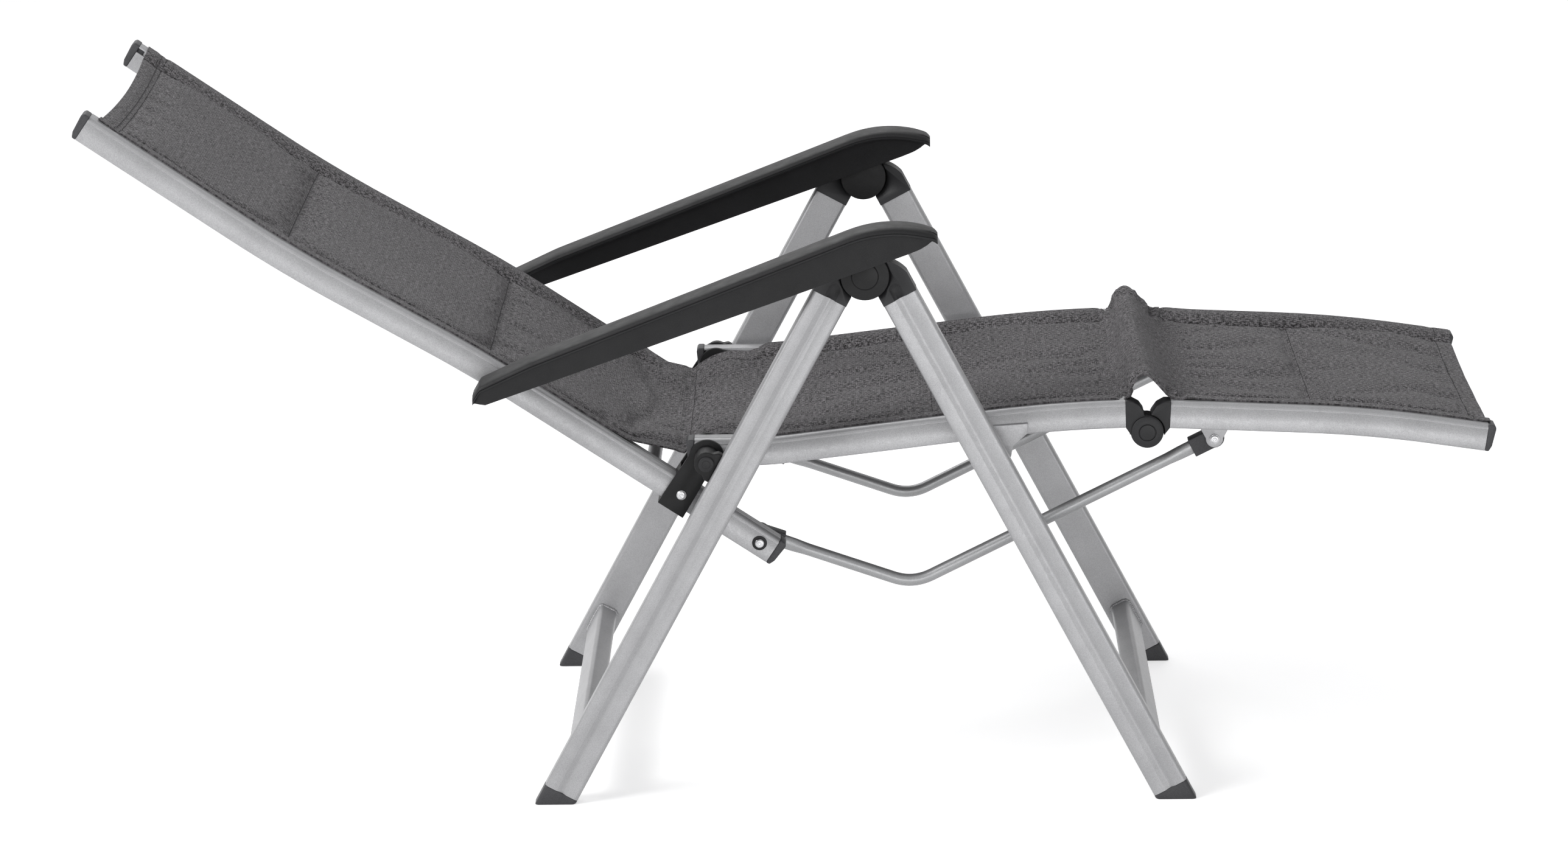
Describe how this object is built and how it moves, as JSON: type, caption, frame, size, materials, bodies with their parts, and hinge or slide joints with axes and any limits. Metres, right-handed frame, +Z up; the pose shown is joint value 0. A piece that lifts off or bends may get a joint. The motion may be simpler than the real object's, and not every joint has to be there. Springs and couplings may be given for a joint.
{
  "type": "reclining sun lounger",
  "caption": "Folding garden recliner whose legs meet in an A under the armrests, with a hinged back and leg rest linked by bent rods, and a sling between side rails.",
  "frame": {"origin": "middle of the overall box, on the floor", "axes": "+X towards the foot end, +Y to the sitter's left, +Z up; the part mirrors across the plane Y = 0"},
  "size_m": [1.7022, 0.65, 0.851],
  "materials": {
    "frame_metal": "satin, fine speckle",
    "moulding": "fine grain",
    "cap_plastic": "fine grain",
    "steel": "zinc plated",
    "sling": "heathered woven"
  },
  "bodies": {
    "rear_legs": {"rear_leg_right": "frame_metal", "rear_leg_left": "frame_metal", "rear_stretcher": "frame_metal", "rear_foot_right": "moulding", "rear_foot_left": "moulding", "rear_knuckle_right": "moulding", "rear_knuckle_left": "moulding", "apex_pins": "steel", "apex_covers": "moulding", "hinge_block_right": "moulding", "hinge_block_left": "moulding", "seat_hinge_pins": "steel"},
    "front_legs": {"front_leg_right": "frame_metal", "front_leg_left": "frame_metal", "front_stretcher": "frame_metal", "front_foot_right": "moulding", "front_foot_left": "moulding", "front_knuckle_right": "moulding", "front_knuckle_left": "moulding", "support_studs": "steel"},
    "armrest_right": {"armrest_right": "moulding", "latch_rack_right": "moulding"},
    "armrest_left": {"armrest_left": "moulding", "latch_rack_left": "moulding"},
    "seat": {"seat_rail_right": "frame_metal", "seat_rail_left": "frame_metal", "seat_rear_caps": "cap_plastic", "seat_rear_tube": "frame_metal", "seat_front_tube": "frame_metal", "support_hooks": "frame_metal", "knee_yoke_right": "moulding", "knee_yoke_left": "moulding", "knee_pins": "steel", "seat_sling": "sling", "knee_fold": "sling"},
    "back": {"back_rail_right": "frame_metal", "back_rail_left": "frame_metal", "back_bracket_right": "moulding", "back_bracket_left": "moulding", "back_top_caps": "cap_plastic", "back_bottom_caps": "cap_plastic", "back_upper_tube": "frame_metal", "back_lower_tube": "frame_metal", "latch_pins": "steel", "bracket_rivets": "steel", "rod_rivets": "steel", "back_sling": "sling"},
    "legrest": {"legrest_rail_right": "frame_metal", "legrest_rail_left": "frame_metal", "knee_tongue_right": "moulding", "knee_tongue_left": "moulding", "legrest_tube": "frame_metal", "legrest_end_caps": "cap_plastic", "link_brackets": "frame_metal", "link_bracket_rivets": "steel", "legrest_sling": "sling"},
    "links": {"link_rod_right": "frame_metal", "link_rod_left": "frame_metal", "link_sleeves": "cap_plastic"}
  },
  "joints": [
    {"name": "leg_fold", "type": "hinge", "parent": "rear_legs", "child": "front_legs", "pos_m": [0.09227, 0, 0.6555], "axis": [0, 1, 0], "range_deg": [0, 56]},
    {"name": "seat_hinge", "type": "hinge", "parent": "rear_legs", "child": "seat", "pos_m": [-0.10028, 0, 0.42346], "axis": [0, -1, 0], "range_deg": [0, 56]},
    {"name": "recline", "type": "hinge", "parent": "seat", "child": "back", "pos_m": [-0.10028, 0, 0.42346], "axis": [0, 1, 0], "range_deg": [0, 45]},
    {"name": "knee_hinge", "type": "hinge", "parent": "seat", "child": "legrest", "pos_m": [0.43072, 0, 0.44796], "axis": [0, 1, 0], "range_deg": [0, 79]},
    {"name": "link_pivot", "type": "hinge", "parent": "back", "child": "links", "pos_m": [-0.03831, 0, 0.31398], "axis": [0, -1, 0], "range_deg": [0, 40]},
    {"name": "arm_swing", "type": "hinge", "parent": "rear_legs", "child": "armrest_right", "pos_m": [0.09227, 0, 0.6555], "axis": [0, -1, 0], "range_deg": [-20, 25]},
    {"name": "left_arm_swing", "type": "hinge", "parent": "rear_legs", "child": "armrest_left", "pos_m": [0.09227, 0, 0.6555], "axis": [0, -1, 0], "range_deg": [-20, 25]}
  ],
  "couplings": [
    {"joint": "seat_hinge", "follows": "leg_fold", "ratio": 1},
    {"joint": "knee_hinge", "follows": "recline", "ratio": 1.742},
    {"joint": "link_pivot", "follows": "recline", "ratio": 0.878},
    {"joint": "left_arm_swing", "follows": "arm_swing", "ratio": 1}
  ]
}
